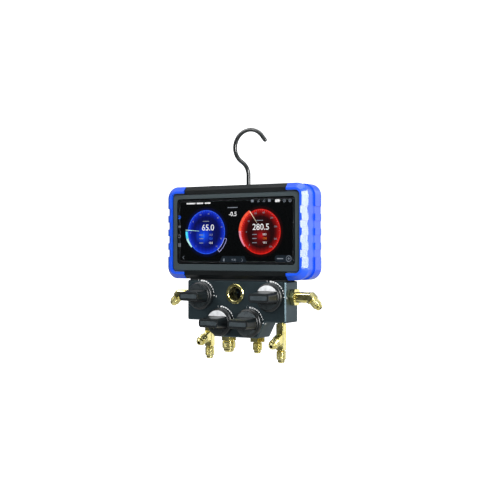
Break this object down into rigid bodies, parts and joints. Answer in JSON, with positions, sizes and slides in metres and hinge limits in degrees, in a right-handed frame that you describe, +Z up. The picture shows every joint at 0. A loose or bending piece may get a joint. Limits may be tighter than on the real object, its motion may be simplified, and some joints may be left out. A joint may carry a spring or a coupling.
{
  "type": "refrigerant manifold gauge",
  "caption": "Hanging digital refrigerant manifold gauge with a wide screen head, valve block with bar knobs, sight glass and brass flare ports.",
  "frame": {"origin": "the point inside the hook that rests on the rail, straight above the hook's stem", "axes": "+X to the right seen from the screen side, -Y towards the screen side, +Z up"},
  "size_m": [0.21, 0.069, 0.2815],
  "materials": {
    "bumper_blue": "satin moulded elastomer",
    "case_dark": "fine-textured moulding",
    "soft_rubber": "matt",
    "screen_glass": "polished cover glass",
    "screen_panel": "lit colour display",
    "sight_window": "clear, dark behind",
    "board_green": "solder mask",
    "switch_black": "moulded",
    "battery_wrap": "shrink wrap",
    "screw_steel": "zinc plated",
    "block_anodised": "grey anodised, fine blasted",
    "knob_black": "satin moulding",
    "disc_white": "printed film",
    "disc_grey": "printed film",
    "label_dark": "bare label plate",
    "fitting_brass": "machined and bright",
    "washer_nylon": "nylon",
    "hook_coated": "black coated steel rod",
    "bush_nylon": "nylon",
    "seat_ptfe": "PTFE",
    "stem_steel": "turned",
    "ball_plated": "plated and polished"
  },
  "bodies": {
    "housing": {"battery_pack": "battery_wrap", "board_screws": "screw_steel", "bottom_bar": "case_dark", "bumper_left": "bumper_blue", "bumper_right": "bumper_blue", "display_glass": "screen_glass", "display_seal": "soft_rubber", "elbow_left": "fitting_brass", "elbow_right": "fitting_brass", "front_bezel": "case_dark", "gland_nuts": "fitting_brass", "hook_bush": "bush_nylon", "housing_gasket": "soft_rubber", "housing_screws": "screw_steel", "lcd_panel": "screen_panel", "main_board": "board_green", "manifold_block": "block_anodised", "neck_pad": "soft_rubber", "neck_screws": "screw_steel", "port_1_4": "fitting_brass", "port_3_8": "fitting_brass", "port_washers": "washer_nylon", "power_switch": "switch_black", "pressure_sensors": "screw_steel", "rear_cover": "case_dark", "sight_glass": "sight_window", "sight_ring": "fitting_brass", "sight_seal": "soft_rubber", "stem_packings": "seat_ptfe", "top_bar": "case_dark", "usb_port": "screw_steel", "valve_seats": "seat_ptfe", "y_fitting_left": "fitting_brass", "y_fitting_right": "fitting_brass"},
    "hanger": {"hook": "hook_coated", "hook_nut": "screw_steel"},
    "socket_cover": {"usb_cover": "soft_rubber"},
    "power_key": {"power_button": "soft_rubber"},
    "valve_upper_left": {"knob_upper_left": "knob_black", "disc_upper_left": "disc_grey", "label_plate_upper_left": "label_dark", "stem_upper_left": "stem_steel", "ball_upper_left": "ball_plated"},
    "valve_upper_right": {"knob_upper_right": "knob_black", "disc_upper_right": "disc_white", "label_plate_upper_right": "label_dark", "stem_upper_right": "stem_steel", "ball_upper_right": "ball_plated"},
    "valve_lower_left": {"knob_lower_left": "knob_black", "disc_lower_left": "disc_white", "label_plate_lower_left": "label_dark", "stem_lower_left": "stem_steel", "ball_lower_left": "ball_plated"},
    "valve_lower_right": {"knob_lower_right": "knob_black", "disc_lower_right": "disc_grey", "label_plate_lower_right": "label_dark", "stem_lower_right": "stem_steel", "ball_lower_right": "ball_plated"}
  },
  "joints": [
    {"name": "hook_swivel", "type": "hinge", "parent": "housing", "child": "hanger", "pos_m": [0, 0, -0.06626], "axis": [0, 0, 1], "continuous": true},
    {"name": "socket_cover_hinge", "type": "hinge", "parent": "housing", "child": "socket_cover", "pos_m": [-0.038, -0.01292, -0.06716], "axis": [-1, 0, 0], "range_deg": [0, 100]},
    {"name": "power_press", "type": "slide", "parent": "housing", "child": "power_key", "axis": [0, 0, -1], "range_m": [0, 0.0008], "stiffness_N_per_m": 400, "springref_m": -0.001},
    {"name": "upper_left_valve", "type": "hinge", "parent": "housing", "child": "valve_upper_left", "pos_m": [-0.0476, -0.0315, -0.19836], "axis": [0, -1, 0], "range_deg": [0, 90]},
    {"name": "upper_right_valve", "type": "hinge", "parent": "housing", "child": "valve_upper_right", "pos_m": [0.0476, -0.0315, -0.19836], "axis": [0, -1, 0], "range_deg": [0, 90]},
    {"name": "lower_left_valve", "type": "hinge", "parent": "housing", "child": "valve_lower_left", "pos_m": [-0.0199, -0.0315, -0.22916], "axis": [0, -1, 0], "range_deg": [0, 90]},
    {"name": "lower_right_valve", "type": "hinge", "parent": "housing", "child": "valve_lower_right", "pos_m": [0.0199, -0.0315, -0.22916], "axis": [0, -1, 0], "range_deg": [0, 90]}
  ]
}
